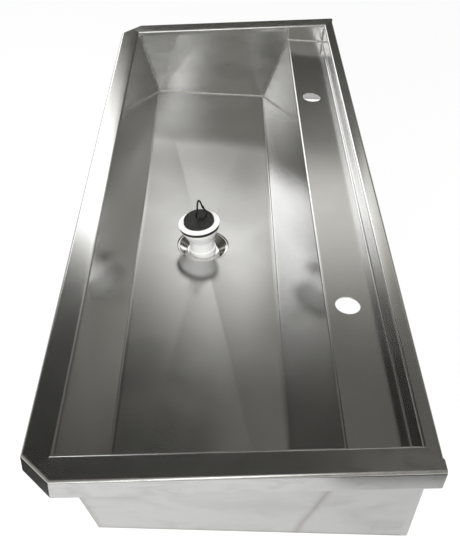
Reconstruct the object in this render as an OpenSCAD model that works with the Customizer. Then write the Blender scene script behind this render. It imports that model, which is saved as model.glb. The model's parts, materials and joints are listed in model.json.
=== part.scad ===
// Wall-hung trough sink in folded steel sheet, with a tap ledge and a loose plug waste.
// X runs along the trough, the front is towards -Y, the wall is the plane Y = 0 and Z is up.
// Heights are worked out from the rear top edge of the rim, then set from the wall fixings.

/* [Trough] */
// Length of the trough, end to end
sink_len = 1200; // [1000:10:1800]
// Depth of the trough, from the wall to the front edge
sink_depth = 460; // [440:5:560]
// How much lower the front edge of the rim is than its rear edge
rim_fall = 43; // [20:1:50]
// Thickness of the steel sheet
sheet_t = 1.5; // [1:0.1:2]
// Inside radius of the folds
fold_r = 2.5; // [1.5:0.1:3.5]
// Length of the straight leg beyond a fold
fold_leg = 6; // [5:0.5:9]

/* [Rim] */
// Width of the rim along the front
front_rim_w = 36; // [34:1:50]
// Width of the rim along each end
end_rim_w = 37; // [34:1:50]
// Width of the rim along the wall
rear_rim_w = 20; // [16:1:24]
// Height of the turned-down apron
apron_h = 31; // [24:1:40]
// Width of the lip folded in under the apron
apron_lip_w = 12; // [10:1:16]
// Length cut from each front corner, along each side
corner_cut = 37; // [30:1:44]
// Height of the rear flange that lies on the wall
rear_flange_h = 31; // [24:1:36]

/* [Basin] */
// Depth of the base's edges below the rear top edge
base_drop = 179; // [160:1:220]
// How far the front wall slopes in, from rim to base
front_wall_run = 45; // [35:1:55]
// How far the back wall slopes in, from ledge to base
back_wall_run = 43.5; // [35:0.5:55]
// Fall of the base from its edges to the drain dish
base_fall = 4.5; // [3:0.5:8]
// Distance from the right corners of the base to its right creases
crease_in = 22; // [10:1:40]

/* [Tap ledge] */
// Width of the ledge, front to back
ledge_w = 76; // [70:1:90]
// Depth of the ledge below the rear top edge
ledge_drop = 40; // [32:1:50]
// Diameter of the tap holes
tap_hole_d = 35; // [28:1:38]
// Distance between the tap holes
tap_spacing = 600; // [300:10:800]
// Distance from the riser to the middle of a tap hole
tap_hole_back = 45; // [40:1:46]

/* [Wall fixings] */
// Width of each wall flange
flange_w = 40; // [32:1:60]
// Diameter of the fixing holes
fix_hole_d = 9; // [7:0.5:11]
// Distance from the end plate to the middle of a fixing hole
fix_hole_in = 22; // [18:1:24]
// Height between the two fixing holes of a flange
fix_spacing = 90; // [60:1:100]
// Depth of the middle of the fixing holes below the rear top edge
fix_mid_drop = 105; // [95:1:110]

/* [Drain dish] */
// Diameter of the drain dish
dish_d = 87; // [84:1:100]
// Depth of the drain dish
dish_depth = 8.5; // [7:0.5:11]
// Inside radius of the dish's two bends
dish_r = 4; // [3:0.5:4.5]
// How far the dish's wall slopes in, from its edge to its floor
dish_wall_run = 14; // [12:0.5:14.5]
// Distance of the drain in front of the middle of the base
drain_forward = 6.5; // [0:0.5:15]
// Width of the flat edge around the dish
dish_edge_w = 2; // [1.9:0.1:2.6]

/* [Waste] */
// Diameter over the thread of the tail
tail_d = 47.5; // [46:0.1:48]
// Height of the threaded tail
tail_h = 10; // [9:0.5:14]
// How much wider the outlet hole is than the tail
outlet_play = 1.1; // [0.8:0.1:1.3]
// Diameter of the neck
neck_d = 43.5; // [42:0.5:45]
// Height of the neck
neck_h = 18; // [17:0.5:24]
// Height of the cone above the neck
cone_h = 23; // [21:0.5:26]
// Diameter of the cup's upper edge
cup_d = 66; // [64:0.5:68]
// Height of the cup's upper edge
cup_edge_h = 4.5; // [3.5:0.5:6]
// Thickness of the cup's wall
cup_wall = 2.5; // [2:0.1:2.8]
// Diameter of the seal
seal_d = 69; // [68:0.5:70]
// Thickness of the seal
seal_t = 6.5; // [5:0.5:8]
// Diameter of the flange
flange_d = 72; // [70:0.5:76]
// Height of the flange at the edge of its opening
flange_h = 2.5; // [2:0.5:4]
// Height of the flange's outer edge
flange_edge_h = 1.5; // [1:0.1:1.8]
// Depth of the flange's throat below the seal's top
throat_depth = 17; // [16:0.5:19]
// Thickness of the throat's wall
throat_wall = 1.8; // [1.5:0.1:2]
// Thickness of the strainer's bars
bar_t = 3; // [2:0.5:4]
// Height of the strainer's bars
bar_h = 5; // [4:0.5:6]
// Diameter of the boss at the strainer's middle
boss_d = 15; // [14:0.5:18]
// Diameter of the clamp screw
screw_d = 6; // [5:0.5:6]
// Diameter of the clamp screw's head
screw_head_d = 11; // [10:0.5:12]
// Height of the clamp screw's head
screw_head_h = 2.5; // [2:0.1:3]
// Width of the clamp nut across its flats
nut_w = 10; // [9:0.5:10]
// Height of the clamp nut
nut_h = 5; // [4:0.5:6]

/* [Plug] */
// Diameter of the plug at its top
plug_d = 52.5; // [50:0.5:53]
// Height of the plug
plug_h = 11; // [9:0.5:12]
// How much the plug's radius tapers from top to bottom
plug_taper = 3; // [2:0.1:3.5]
// Width of the raised edge on the plug
plug_edge_w = 2.5; // [2:0.1:4]
// Depth of the hollow inside the raised edge
plug_hollow = 1.5; // [1:0.1:2.5]
// Tilt of the plug as it lies loose in its seat, in degrees
plug_tilt = 8; // [2:1:8]
// Height of the eye above the hollow
eye_h = 9.2; // [9:0.2:11]
// Width of the eye
eye_w = 8.4; // [8:0.2:9]
// Thickness of the eye
eye_t = 2.6; // [2:0.2:3]
// Diameter of the hole in the eye
eye_hole_d = 4.4; // [4.2:0.1:4.8]
// Diameter of the ring's wire
wire_d = 2.8; // [2.2:0.1:3]
// Height of the ring above the eye's hole
ring_h = 40; // [30:1:46]
// Width of the ring at its widest
ring_w = 15; // [14:0.5:18]
// Diameter of the clasp on the ring
clasp_d = 4.2; // [3.6:0.1:4.8]
// Length of the clasp on the ring
clasp_h = 5; // [4:0.5:7]

/* [Hidden] */

// Flat faces in a fold
bend_steps = 6;
// Sides of round pieces
round_n = 96;
// Points along the ends and the long sides of the ring around the dish
side_steps = 4;
long_steps = 20;
// Sides of the plug ring's wire, and its rings between two points of its shape
wire_n = 8;
wire_rings = 4;
// Overrun of every cut
cut = 1;
// Gap between pieces of different bodies at rest
seat_gap = 0.3;
// Size of a weld bead's sides
bead = 2.2;
// Width of the pressed step around the dish, where the base's facets level out
seat_ring_w = 3;
// Clearance around the clamp screw and its nut
screw_clear = 0.1;
// Width of the slot in the clamp screw
slot_w = 1.4;
// Clearance between the seal and the throat
seal_clear = 0.5;
// Width of the flat edge around the flange's opening
seat_edge_w = 2;
// Turn of the strainer's bars about the waste's axis
bar_turn = 45;
// Colours
steel = "#c6c4be";
shiny = "#dddcd8";
white = "#f2f2ef";
black = "#26262a";

half_len = sink_len / 2;
inner_half = half_len - end_rim_w;
// Distance from an outer edge to where its fold ends on the rim
skirt = fold_r + sheet_t;
// Depth of a rim fold's leg below the rim
leg_drop = skirt + fold_leg;
// Distance from an outer edge to where the corner's mitre starts
corner_in = corner_cut / 2 + skirt / sqrt(2);

// Places across the trough
rim_front_y = -sink_depth + front_rim_w;
riser_y = -rear_rim_w;
ledge_y = riser_y - ledge_w;
base_front_y = rim_front_y + front_wall_run;
base_back_y = ledge_y - back_wall_run;
drain_y = (base_front_y + base_back_y) / 2 - drain_forward;
tap_y = riser_y - tap_hole_back;
// The dish's edge is level with the base where the base is lowest beside it, towards the ends
dish_top = -base_drop - base_fall * (1 - dish_d / 2 / inner_half);
dish_floor = dish_top - dish_depth;

// The waste leans until its tail jams across the outlet
outlet_d = tail_d + outlet_play;
waste_lean = acos(tail_d / (outlet_d - 2 * seat_gap));
cup_h = tail_h + neck_h + cone_h + cup_edge_h;
seal_top = cup_h + seal_t;
flange_top = seal_top + flange_h;
throat_z = seal_top - throat_depth;
seat_r = plug_d / 2 + seat_gap;
seat_slope = plug_taper / plug_h;
spider_h = nut_h + bar_t;
spider_z = tail_h + neck_h - spider_h;
eye_hole_z = eye_h - eye_w / 2;

// Height of the rim's top face at depth y
function rim_z(y) = y * rim_fall / sink_depth;
function unit(v) = v / norm(v);
function swing(v, a) = [v.x * cos(a) - v.y * sin(a), v.x * sin(a) + v.y * cos(a)];
function between(a, b, share) = a + (b - a) * share;
function turn(u, v) = atan2(u.x * v.y - u.y * v.x, u * v);
function reversed(list) = [for (k = [len(list) - 1:-1:0]) list[k]];

// Both faces of a sheet that is folded along a path, the sheet lying to the right of the path
function corner_faces(a, b, c, in_r) =
    let (u = unit(b - a), w = turn(u, unit(c - b)), side = w > 0 ? 1 : -1,
        r = side > 0 ? in_r : in_r + sheet_t, back_r = r + side * sheet_t,
        n = [-u.y, u.x] * side, mid = b - u * r * tan(abs(w) / 2) + n * r)
    abs(w) < 0.01 ? [[b], [b + [u.y, -u.x] * sheet_t]] :
    let (spokes = [for (k = [0:bend_steps]) swing(n, w * k / bend_steps)])
    [[for (s = spokes) mid - s * r], [for (s = spokes) mid - s * back_r]];
function sheet_faces(path, in_r = fold_r) =
    let (last = len(path) - 1, u = unit(path[1] - path[0]), v = unit(path[last] - path[last - 1]),
        folds = [for (k = [1:last - 1]) corner_faces(path[k - 1], path[k], path[k + 1], in_r)])
    [[path[0], for (f = folds) each f[0], path[last]],
     [path[0] + [u.y, -u.x] * sheet_t, for (f = folds) each f[1], path[last] + [v.y, -v.x] * sheet_t]];
function sheet_outline(path, in_r = fold_r) = let (f = sheet_faces(path, in_r)) concat(f[0], reversed(f[1]));

// A sheet that runs along X from end plate to end plate
module sheet_run(path) {
    translate([-inner_half, 0, 0])
        rotate([90, 0, 90])
            linear_extrude(2 * inner_half) polygon(sheet_outline(path));
}

// A sheet whose two faces are given as points at both of its ends
module sheet_between(front_a, back_a, front_b, back_b) {
    n = len(front_a);
    points = concat(front_a, back_a, front_b, back_b);
    strips = [for (k = [0:n - 2]) each [
        [k, k + 1, 2 * n + k + 1, 2 * n + k],
        [n + k + 1, n + k, 3 * n + k, 3 * n + k + 1],
        [k + 1, k, n + k, n + k + 1],
        [2 * n + k, 2 * n + k + 1, 3 * n + k + 1, 3 * n + k]]];
    edges = [[0, 2 * n, 3 * n, n], [n - 1, 2 * n - 1, 4 * n - 1, 3 * n - 1]];
    polyhedron(points, concat(strips, edges));
}

// Everything is drawn from the rim's rear edge and set from the wall fixings
module from_fixings() {
    translate([0, 0, fix_mid_drop]) children();
}

// Points of the folded sections
front_foot = [base_front_y, -base_drop];
front_top = [rim_front_y, rim_z(rim_front_y)];
front_down = unit(front_foot - front_top);
front_leg_end = front_top + front_down * leg_drop;
back_foot = [base_back_y, -base_drop];
ledge_edge = [ledge_y, -ledge_drop];
ledge_front = ledge_edge + [skirt, 0];
riser_foot = [riser_y, -ledge_drop];
ledge_back = riser_foot - [skirt, 0];
riser_top = [riser_y, rim_z(riser_y)];

// Where the front rim ends in X, at a given distance behind the front edge
function front_rim_end(in) =
    in <= corner_in ? half_len - corner_cut + in - skirt * sqrt(2) :
    in <= front_rim_w ?
        between(half_len - corner_in, inner_half, (in - corner_in) / (front_rim_w - corner_in)) : inner_half;
// Where an end rim ends in Y, at a given distance inside the end's edge
function end_rim_front(in) =
    in <= corner_in ? -sink_depth + corner_cut - in + skirt * sqrt(2) :
        between(-sink_depth + corner_in, rim_front_y, (in - corner_in) / (end_rim_w - corner_in));
function end_rim_rear(in) = min(0, end_rim_w - rear_rim_w - in);
// How far a corner's joint line runs sideways for each unit inwards
joint_slant = tan(22.5);
// Points of a section before its path reaches the flat of the rim
outer_count = 2 * bend_steps + 4;

module front_rim() {
    lip_y = -sink_depth + apron_lip_w;
    path = [[lip_y, rim_z(lip_y) - apron_h], [-sink_depth, rim_z(-sink_depth) - apron_h],
        [-sink_depth, rim_z(-sink_depth)], [-sink_depth + skirt, rim_z(-sink_depth + skirt)],
        [-sink_depth + corner_in, rim_z(-sink_depth + corner_in)], front_top, front_leg_end];
    faces = sheet_faces(path);
    function ends(list, side) = [for (k = [0:len(list) - 1]) let (in = list[k].x + sink_depth)
        [side * (k < outer_count ? half_len - corner_cut - in * joint_slant : front_rim_end(in)),
            list[k].x, list[k].y]];
    color(steel) from_fixings()
        sheet_between(ends(faces[0], -1), ends(faces[1], -1), ends(faces[0], 1), ends(faces[1], 1));
}

module end_rim() {
    stops = [min(corner_in, end_rim_w - rear_rim_w), max(corner_in, end_rim_w - rear_rim_w)];
    path = [[apron_lip_w, -apron_h], [0, -apron_h], [0, 0], [skirt, 0], [stops[0], 0], [stops[1], 0],
        [end_rim_w, 0], [end_rim_w, -leg_drop]];
    faces = sheet_faces(path);
    function placed(p, y) = [half_len - p.x, y, rim_z(y) + p.y];
    function front(list) = [for (k = [0:len(list) - 1])
        placed(list[k], k < outer_count ? -sink_depth + corner_cut + list[k].x * joint_slant :
            end_rim_front(list[k].x))];
    function rear(list) = [for (k = [0:len(list) - 1])
        placed(list[k], k < outer_count ? 0 : end_rim_rear(list[k].x))];
    color(steel) from_fixings()
        sheet_between(front(faces[0]), front(faces[1]), rear(faces[0]), rear(faces[1]));
}
module right_rim() { end_rim(); }
module left_rim() { mirror([1, 0, 0]) end_rim(); }

module corner_apron() {
    faces = sheet_faces([[apron_lip_w, -apron_h], [0, -apron_h], [0, 0], [skirt, 0]]);
    function placed(p, x, y) = [x, y, rim_z(y) + p.y];
    function by_front(list) = [for (p = list)
        placed(p, half_len - corner_cut - p.x * joint_slant, -sink_depth + p.x)];
    function by_end(list) = [for (p = list)
        placed(p, half_len - p.x, -sink_depth + corner_cut + p.x * joint_slant)];
    color(steel) from_fixings()
        sheet_between(by_front(faces[0]), by_front(faces[1]), by_end(faces[0]), by_end(faces[1]));
}
module right_corner_apron() { corner_apron(); }
module left_corner_apron() { mirror([1, 0, 0]) corner_apron(); }

module rear_rim() {
    faces = sheet_faces([[riser_y, riser_top.y - leg_drop], riser_top, [0, 0], [0, -rear_flange_h]]);
    function ends(list, side) = [for (p = list)
        [side * (inner_half + max(0, p.x + rear_rim_w)), p.x, p.y]];
    color(steel) from_fixings()
        sheet_between(ends(faces[0], -1), ends(faces[1], -1), ends(faces[0], 1), ends(faces[1], 1));
}

module front_wall() {
    color(steel) from_fixings() sheet_run([front_leg_end, front_foot, front_foot + [fold_leg, 0]]);
}

module back_wall() {
    color(steel) from_fixings()
        sheet_run([back_foot - [fold_leg, 0], back_foot, ledge_edge, ledge_front]);
}

module tap_ledge() {
    color(steel) from_fixings() difference() {
        sheet_run([ledge_front, ledge_back]);
        for (side = [-1, 1])
            translate([side * tap_spacing / 2, tap_y, -ledge_drop - sheet_t - cut])
                cylinder(d = tap_hole_d, h = sheet_t + 2 * cut, $fn = round_n);
    }
}

module ledge_riser() {
    color(steel) from_fixings() sheet_run([ledge_back, riser_foot, [riser_y, riser_top.y - leg_drop]]);
}

// Share of the way that the base has fallen at a point, along its four facets
base_start_y = base_front_y + fold_leg;
base_end_y = base_back_y - fold_leg;
crease_share = crease_in / (drain_y - base_start_y);
right_rise_x = inner_half / (1 - crease_share);
function fall_share(x, y) = min((y - base_start_y) / (drain_y - base_start_y),
    (base_end_y - y) / (base_end_y - drain_y), (inner_half + x) / inner_half,
    (right_rise_x - x) / right_rise_x);
function base_point(x, y) = [x, y, -base_drop - base_fall * fall_share(x, y)];
back_crease_y = base_end_y - crease_share * (base_end_y - drain_y);
front_crease_y = base_start_y + crease_in;

// The base falls along four creased facets, then evenly to the round edge of the dish
module basin_base() {
    corners = [[inner_half, front_crease_y], [inner_half, back_crease_y], [inner_half, base_end_y],
        [-inner_half, base_end_y], [-inner_half, base_start_y], [inner_half, base_start_y]];
    function toward(p) = atan2(p.y - drain_y, p.x);
    right_from = toward(corners[0]);
    right_to = toward(corners[1]);
    left_from = toward(corners[3]);
    left_to = toward(corners[4]) + 360;
    angles = concat([for (k = [0:side_steps - 1]) between(right_from, right_to, k / side_steps)],
        [for (k = [0:long_steps - 1]) between(right_to, left_from, k / long_steps)],
        [for (k = [0:side_steps - 1]) between(left_from, left_to, k / side_steps)],
        [for (k = [0:long_steps - 1]) between(left_to, right_from + 360, k / long_steps)]);
    n = len(angles);
    m = len(corners);
    step = (left_from - right_to) / long_steps;
    edge_r = dish_d / 2 / cos(step / 2);
    function round_point(r, a) = [r * cos(a), drain_y + r * sin(a)];
    top = concat([for (p = corners) base_point(p.x, p.y)],
        [for (a = angles) let (p = round_point(edge_r + seat_ring_w, a)) base_point(p.x, p.y)],
        [for (a = angles) let (p = round_point(edge_r, a)) [p.x, p.y, dish_top]]);
    total = len(top);
    points = concat(top, [for (p = top) p - [0, 0, sheet_t]]);
    // The corner that each stretch of the ring is fanned from changes at these places
    half_side = side_steps / 2;
    half_long = long_steps / 2;
    changes = [half_side, side_steps, side_steps + half_long, side_steps + long_steps + half_side,
        2 * side_steps + long_steps + half_long];
    function fan_corner(k) = len([for (c = changes) if (k >= c) c]);
    top_faces = concat(
        [for (k = [0:n - 1]) [fan_corner(k), m + k, m + (k + 1) % n]],
        [for (k = [0:len(changes) - 1]) [k, m + changes[k], k + 1]],
        [[m - 1, m, 0]],
        [for (k = [0:n - 1]) [m + k, m + n + k, m + n + (k + 1) % n, m + (k + 1) % n]]);
    under_faces = [for (f = top_faces) [for (v = reversed(f)) v + total]];
    outer_faces = [for (k = [0:m - 1]) let (next = (k + 1) % m) [k, next, next + total, k + total]];
    hole_faces = [for (k = [0:n - 1]) let (a = m + n + k, b = m + n + (k + 1) % n)
        [b, a, a + total, b + total]];
    color(steel) from_fixings()
        polyhedron(points, concat(top_faces, under_faces, outer_faces, hole_faces));
}

module drain_dish() {
    lip_r = dish_d / 2 - dish_edge_w;
    profile = sheet_outline([[outlet_d / 2, dish_floor], [lip_r - dish_wall_run, dish_floor],
        [lip_r, dish_top], [dish_d / 2, dish_top]], dish_r);
    color(shiny) from_fixings() translate([0, drain_y, 0])
        rotate_extrude($fn = round_n) polygon(profile);
}

// Outer face of the front wall, where the end plate's front edge lies
front_out = [front_down.y, -front_down.x] * sheet_t;
function front_outer_y(z) = front_foot.x + front_out.x
    + front_down.x / front_down.y * (z - front_foot.y - front_out.y);
plate_foot_z = -base_drop - sheet_t;
plate_top_y = front_outer_y(front_top.y - leg_drop);

// A flat plate that closes the right end, drawn by its outline in Y and Z
module end_sheet(outline) {
    translate([inner_half, 0, 0]) rotate([90, 0, 90]) linear_extrude(sheet_t) polygon(outline);
}

module end_plate() {
    color(steel) from_fixings() end_sheet([
        [front_outer_y(plate_foot_z), plate_foot_z], [plate_top_y, rim_z(plate_top_y) - leg_drop],
        [ledge_y, rim_z(ledge_y) - leg_drop], ledge_edge, riser_foot,
        [riser_y, riser_top.y - skirt], [-sheet_t, rim_z(-sheet_t) - skirt],
        [-sheet_t, -rear_flange_h], [-leg_drop, -rear_flange_h], [-leg_drop, plate_foot_z]]);
}
module right_end_plate() { end_plate(); }
module left_end_plate() { mirror([1, 0, 0]) end_plate(); }

module ledge_end() {
    color(steel) from_fixings() end_sheet([ledge_edge, [ledge_y, rim_z(ledge_y) - leg_drop],
        [riser_y, rim_z(riser_y) - leg_drop], riser_foot]);
}
module right_ledge_end() { ledge_end(); }
module left_ledge_end() { mirror([1, 0, 0]) ledge_end(); }

module wall_flange() {
    outer_x = inner_half + sheet_t;
    color(steel) from_fixings() difference() {
        translate([0, 0, plate_foot_z])
            linear_extrude(-rear_flange_h - plate_foot_z)
                polygon(sheet_outline([[outer_x - flange_w, 0], [outer_x, 0], [outer_x, -leg_drop]]));
        for (side = [-1, 1])
            translate([inner_half - fix_hole_in, cut, -fix_mid_drop + side * fix_spacing / 2])
                rotate([90, 0, 0]) cylinder(d = fix_hole_d, h = sheet_t + 2 * cut, $fn = round_n);
    }
}
module right_wall_flange() { wall_flange(); }
module left_wall_flange() { mirror([1, 0, 0]) wall_flange(); }

// A weld bead in the corner between the end plate and the sheet along a line in Y and Z
module corner_bead(line) {
    n = len(line);
    function rise(k) = let (d = unit(line[min(k + 1, n - 1)] - line[max(k - 1, 0)])) [-d.y, d.x] * bead;
    points = concat([for (p = line) [inner_half, p.x, p.y]],
        [for (p = line) [inner_half - bead, p.x, p.y]],
        [for (k = [0:n - 1]) let (p = line[k] + rise(k)) [inner_half, p.x, p.y]]);
    sides = [for (k = [0:n - 2]) each [
        [k, k + 1, n + k + 1, n + k],
        [n + k, n + k + 1, 2 * n + k + 1, 2 * n + k],
        [2 * n + k, 2 * n + k + 1, k + 1, k]]];
    polyhedron(points, concat(sides, [[0, n, 2 * n], [n - 1, 3 * n - 1, 2 * n - 1]]));
}

module end_welds(base_points) {
    line = sheet_faces(concat([front_leg_end, front_foot], base_points,
        [back_foot, ledge_edge, riser_foot, [riser_y, riser_top.y - leg_drop]]))[0];
    color(steel) from_fixings() {
        corner_bead(line);
        translate([0, 0, -ledge_drop])
            linear_extrude(rim_z(ledge_y) - skirt + ledge_drop)
                polygon([[inner_half, ledge_y - bead], [inner_half, ledge_y],
                    [inner_half - bead / 2, ledge_y - bead / 2]]);
    }
}
function end_edge(y) = let (p = base_point(inner_half, y)) [p.y, p.z];
module right_welds() {
    end_welds([for (y = [base_start_y, front_crease_y, back_crease_y, base_end_y]) end_edge(y)]);
}
module left_welds() { mirror([1, 0, 0]) end_welds([]); }

// The waste stands askew in the outlet, its tail's rear edge just above the dish's floor
module in_waste() {
    from_fixings() translate([0, drain_y + outlet_d / 2 - seat_gap, dish_floor + seat_gap])
        rotate([waste_lean, 0, 0]) translate([0, -tail_d / 2, 0]) children();
}

// The plug lies tilted in its seat, lowered at its right edge
module in_plug() {
    in_waste() translate([0, 0, flange_top + plug_d / 2 * sin(plug_tilt)])
        rotate([0, plug_tilt, 0]) children();
}

module turned(outline) {
    rotate_extrude($fn = round_n) polygon(outline);
}

// Bars that cross a round opening, with a boss in the middle
module cross_bars(radius, z, h) {
    intersection() {
        union() {
            for (a = [0, 90])
                rotate([0, 0, a + bar_turn])
                    translate([-radius, -bar_t / 2, z]) cube([2 * radius, bar_t, h]);
            translate([0, 0, z]) cylinder(d = boss_d, h = h, $fn = round_n);
        }
        translate([0, 0, z]) cylinder(r = radius, h = h, $fn = round_n);
    }
}

module waste_cup() {
    cone_z = tail_h + neck_h;
    cone_top = cone_z + cone_h;
    bore_r = neck_d / 2 - cup_wall;
    color(white) in_waste() difference() {
        union() {
            turned([[tail_d / 2, 0], [tail_d / 2, tail_h], [neck_d / 2, tail_h], [neck_d / 2, cone_z],
                [cup_d / 2, cone_top], [cup_d / 2, cup_h], [cup_d / 2 - cup_wall, cup_h],
                [cup_d / 2 - cup_wall, cone_top], [bore_r, cone_z], [bore_r, 0]]);
            cross_bars(bore_r + cup_wall / 2, spider_z, spider_h);
        }
        translate([0, 0, spider_z - cut])
            cylinder(d = screw_d + 2 * screw_clear, h = spider_h + 2 * cut, $fn = round_n);
        translate([0, 0, spider_z - cut])
            cylinder(d = (nut_w + 2 * screw_clear) / cos(30), h = nut_h + cut, $fn = 6);
    }
}

module waste_nut() {
    color(shiny) in_waste() translate([0, 0, spider_z]) difference() {
        cylinder(d = nut_w / cos(30), h = nut_h, $fn = 6);
        translate([0, 0, -cut])
            cylinder(d = screw_d + 2 * screw_clear, h = nut_h + 2 * cut, $fn = round_n);
    }
}

module waste_screw() {
    head_z = throat_z + bar_h;
    color(shiny) in_waste() difference() {
        union() {
            translate([0, 0, spider_z]) cylinder(d = screw_d, h = head_z - spider_z, $fn = round_n);
            translate([0, 0, head_z]) cylinder(d = screw_head_d, h = screw_head_h, $fn = round_n);
        }
        translate([-screw_head_d, -slot_w / 2, head_z + screw_head_h / 2])
            cube([2 * screw_head_d, slot_w, screw_head_h]);
    }
}

module waste_seal() {
    in_r = seat_r - flange_h * seat_slope + throat_wall + seal_clear;
    color(black) in_waste()
        turned([[in_r, cup_h], [seal_d / 2, cup_h], [seal_d / 2, seal_top], [in_r, seal_top]]);
}

module waste_flange() {
    throat_r = seat_r - (flange_top - throat_z) * seat_slope;
    neck_r = seat_r - flange_h * seat_slope + throat_wall;
    crown_r = seat_r + seat_edge_w;
    dome = [for (k = [0:bend_steps]) let (a = 90 * k / bend_steps)
        [crown_r + (flange_d / 2 - crown_r) * cos(a),
            seal_top + flange_edge_h + (flange_h - flange_edge_h) * sin(a)]];
    color(white) in_waste() difference() {
        union() {
            turned(concat([[throat_r, throat_z], [throat_r + throat_wall, throat_z], [neck_r, seal_top],
                [flange_d / 2, seal_top]], dome, [[seat_r, flange_top]]));
            cross_bars(throat_r + throat_wall / 2, throat_z, bar_h);
        }
        translate([0, 0, throat_z - cut])
            cylinder(d = screw_d + 2 * screw_clear, h = bar_h + 2 * cut, $fn = round_n);
    }
}

module plug() {
    r = plug_d / 2;
    color(black) in_plug()
        turned([[0, -plug_h], [r - plug_taper, -plug_h], [r, 0], [r, plug_hollow / 2],
            [r - plug_hollow / 2, plug_hollow], [r - plug_edge_w, plug_hollow],
            [r - plug_edge_w - plug_hollow, 0], [0, 0]]);
}

module plug_eye() {
    color(black) in_plug() difference() {
        union() {
            translate([-eye_w / 2, -eye_t / 2, 0]) cube([eye_w, eye_t, eye_hole_z]);
            translate([0, eye_t / 2, eye_hole_z]) rotate([90, 0, 0])
                cylinder(d = eye_w, h = eye_t, $fn = round_n);
        }
        translate([0, eye_t / 2 + cut, eye_hole_z]) rotate([90, 0, 0])
            cylinder(d = eye_hole_d, h = eye_t + 2 * cut, $fn = round_n);
    }
}

// The ring's shape, as shares of its width and height from the eye's hole
ring_shares = [[0, 0], [-0.16, 0.006], [-0.21, 0.075], [-0.16, 0.212], [-0.03, 0.362], [0.06, 0.613],
    [0.19, 0.9], [0.33, 1], [0.48, 0.938], [0.59, 0.75], [0.69, 0.625], [0.84, 0.48], [1, 0.287],
    [0.97, 0.125], [0.79, 0.005], [0.47, -0.072], [0.17, -0.013]];
// Place of the clasp along the ring's shape
clasp_place = 10;
function ring_point(k) = let (s = ring_shares[(k + len(ring_shares)) % len(ring_shares)])
    [s.x * ring_w, s.y * ring_h];
// Smooth curve through four points in turn
function smooth(a, b, c, d, t) = (2 * b + (c - a) * t + (2 * a - 5 * b + 4 * c - d) * t * t
    + (3 * b - a - 3 * c + d) * t * t * t) / 2;

module plug_ring() {
    line = [for (k = [0:len(ring_shares) - 1]) for (j = [0:wire_rings - 1])
        smooth(ring_point(k - 1), ring_point(k), ring_point(k + 1), ring_point(k + 2), j / wire_rings)];
    n = len(line);
    points = [for (k = [0:n - 1])
        let (d = unit(line[(k + 1) % n] - line[(k + n - 1) % n]), side = [-d.y, d.x])
        for (j = [0:wire_n - 1]) let (a = 360 * j / wire_n, off = side * cos(a) * wire_d / 2)
        [sin(a) * wire_d / 2, line[k].x + off.x, line[k].y + off.y]];
    faces = [for (k = [0:n - 1]) for (j = [0:wire_n - 1])
        [k * wire_n + j, (k + 1) % n * wire_n + j,
            (k + 1) % n * wire_n + (j + 1) % wire_n, k * wire_n + (j + 1) % wire_n]];
    clasp = ring_point(clasp_place);
    clasp_way = ring_point(clasp_place + 1) - ring_point(clasp_place - 1);
    color(black) in_plug() translate([0, 0, eye_hole_z]) {
        polyhedron(points, faces);
        translate([0, clasp.x, clasp.y]) rotate([atan2(-clasp_way.x, clasp_way.y), 0, 0])
            cylinder(d = clasp_d, h = clasp_h, center = true, $fn = wire_n);
    }
}

front_rim();
right_rim();
left_rim();
right_corner_apron();
left_corner_apron();
rear_rim();
front_wall();
back_wall();
tap_ledge();
ledge_riser();
basin_base();
drain_dish();
right_end_plate();
left_end_plate();
right_ledge_end();
left_ledge_end();
right_wall_flange();
left_wall_flange();
right_welds();
left_welds();
waste_cup();
waste_nut();
waste_screw();
waste_seal();
waste_flange();
plug();
plug_eye();
plug_ring();
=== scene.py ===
import bpy
import json
import math
import random
from mathutils import Matrix, Vector


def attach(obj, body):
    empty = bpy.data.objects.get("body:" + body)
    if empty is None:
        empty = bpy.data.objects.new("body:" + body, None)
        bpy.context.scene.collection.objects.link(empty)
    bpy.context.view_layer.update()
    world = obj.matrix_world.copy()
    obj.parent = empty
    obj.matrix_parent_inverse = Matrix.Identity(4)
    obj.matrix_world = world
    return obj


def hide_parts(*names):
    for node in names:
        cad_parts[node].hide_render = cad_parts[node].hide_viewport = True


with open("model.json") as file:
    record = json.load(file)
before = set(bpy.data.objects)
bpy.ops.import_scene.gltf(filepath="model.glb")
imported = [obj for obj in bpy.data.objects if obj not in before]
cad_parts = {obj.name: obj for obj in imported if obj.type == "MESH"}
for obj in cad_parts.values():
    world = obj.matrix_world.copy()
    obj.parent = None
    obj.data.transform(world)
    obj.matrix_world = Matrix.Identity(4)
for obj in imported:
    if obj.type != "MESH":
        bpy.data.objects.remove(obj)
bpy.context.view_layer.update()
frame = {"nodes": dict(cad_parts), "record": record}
nodes = frame["nodes"]
print("loaded the packed trough sink:", len(nodes), "nodes")

# The camera stands off the sink's right end and looks down along the trough
cameraView = {
    "place": (1.0928, -0.2705, 0.7849),   # metres, in the sink's own frame
    "forward": (-0.7601, 0.0393, -0.6486),
    "right": (0.0039, 0.9984, 0.0560),
    "lens": 51.08,                        # mm, on a frame 36 mm tall
}


def makeCamera(v):
    data = bpy.data.cameras.new("camera")
    data.sensor_fit = "VERTICAL"
    data.sensor_height = 36
    data.lens = v["lens"]
    data.clip_start, data.clip_end = 0.05, 60
    cam = bpy.data.objects.new("camera", data)
    forward = Vector(v["forward"]).normalized()
    right = Vector(v["right"])
    right = (right - forward * right.dot(forward)).normalized()
    turn = Matrix((right, right.cross(forward), -forward)).transposed()
    cam.matrix_world = Matrix.Translation(v["place"]) @ turn.to_4x4()
    bpy.context.scene.collection.objects.link(cam)
    bpy.context.scene.camera = cam


makeCamera(cameraView)
bpy.context.scene.view_settings.view_transform = "Standard"
print("camera placed")


# Small helpers for node trees
def addNode(tree, kind, **settings):
    n = tree.nodes.new(kind)
    for key, value in settings.items():
        setattr(n, key, value)
    return n


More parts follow.
